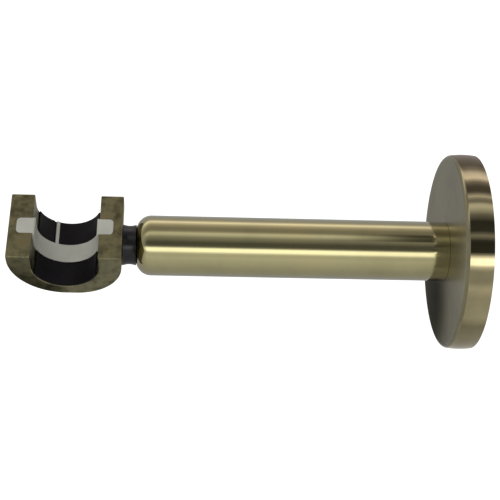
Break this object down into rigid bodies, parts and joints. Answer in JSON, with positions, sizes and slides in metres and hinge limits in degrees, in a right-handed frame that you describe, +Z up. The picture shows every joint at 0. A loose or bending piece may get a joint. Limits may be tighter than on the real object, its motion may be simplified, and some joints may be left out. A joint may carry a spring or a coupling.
{
  "type": "curtain pole bracket",
  "caption": "Wall bracket for a curtain pole: round rose, plain round barrel, short black neck and an open U-shaped cup with a black liner and a white strap.",
  "frame": {"origin": "centre of the rose and of the wall plate's screw circle, in the wall plane", "axes": "+X into the wall along the barrel, so the bracket stands out along -X; +Z up, the way the cup is open; Y along the pole"},
  "size_m": [0.1919, 0.082, 0.082],
  "materials": {
    "brass_cast": "antique brass, satin, lightly brushed",
    "brass_tube": "antique brass, polished and lacquered",
    "black_plastic": "satin black moulded plastic",
    "white_nylon": "off-white moulded nylon",
    "zinc_steel": "bright zinc plate",
    "black_steel": "black oxide"
  },
  "bodies": {
    "root": {"wall_plate": "zinc_steel", "rose": "brass_cast", "rose_grub_screw": "black_steel", "plain_washer": "zinc_steel", "spring_washer": "zinc_steel", "barrel_bolt": "zinc_steel", "barrel_rear_plug": "zinc_steel", "barrel_front_plug": "zinc_steel", "barrel": "brass_tube", "neck_collar": "black_plastic", "neck_stud": "zinc_steel", "cup_body": "brass_cast", "cup_liner": "black_plastic", "pole_strap": "white_nylon"}
  },
  "joints": []
}
